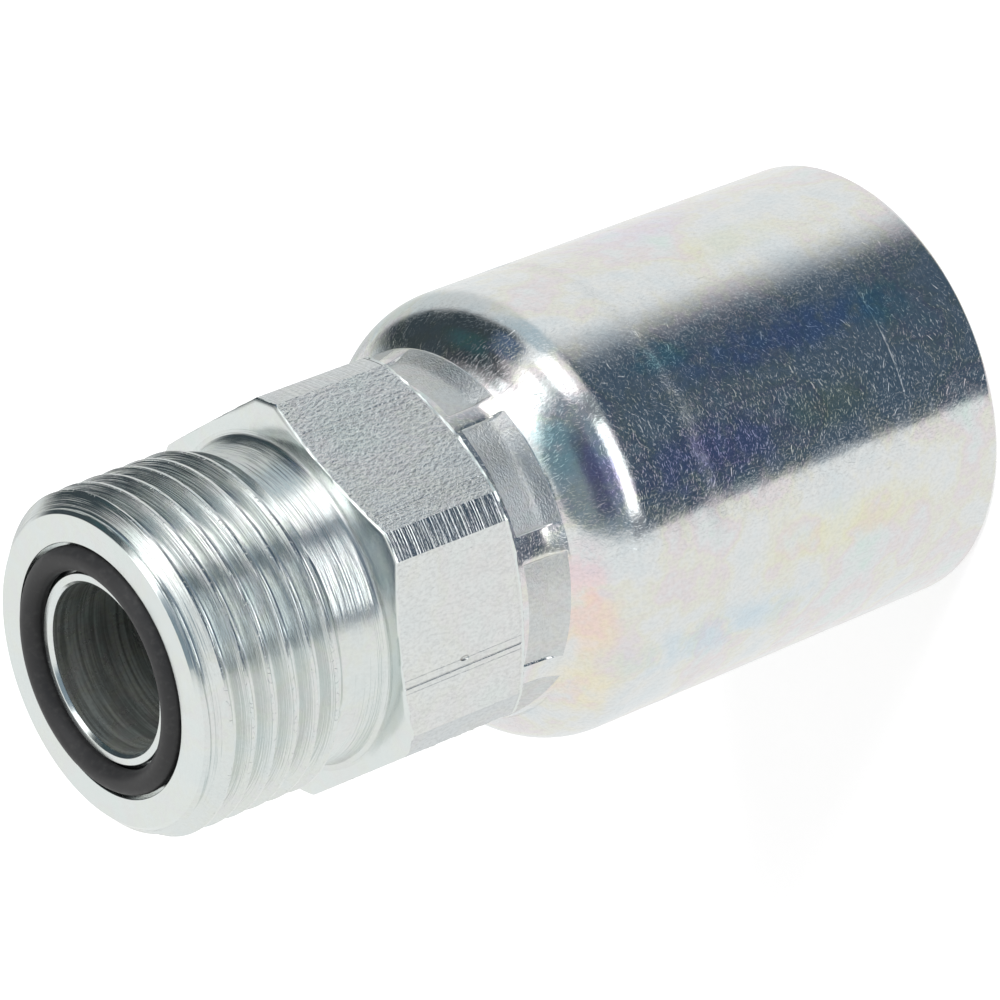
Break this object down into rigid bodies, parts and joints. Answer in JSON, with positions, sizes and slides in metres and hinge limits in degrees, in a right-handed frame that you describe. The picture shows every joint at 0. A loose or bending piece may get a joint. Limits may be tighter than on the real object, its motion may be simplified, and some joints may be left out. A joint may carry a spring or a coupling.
{
  "type": "crimp hose fitting",
  "caption": "Straight crimp fitting for hydraulic hose: male thread with a face-seal ring, hexagon, barbed stem and a crimp shell staked to it.",
  "frame": {"origin": "centre of the shell's open end, at the bottom of the part", "axes": "Z runs along the fitting's axis from the shell's open end to the threaded end; X and Y are across it"},
  "size_m": [0.0336, 0.0336, 0.0698],
  "materials": {
    "nipple": "bright zinc plated, turned and drawn surfaces",
    "shell": "bright zinc plated, with a faint yellow, pink and blue sheen and fine scratches",
    "o_ring": "satin black rubber"
  },
  "bodies": {
    "root": {"nipple": "nipple", "shell": "shell", "o_ring": "o_ring"}
  },
  "joints": []
}
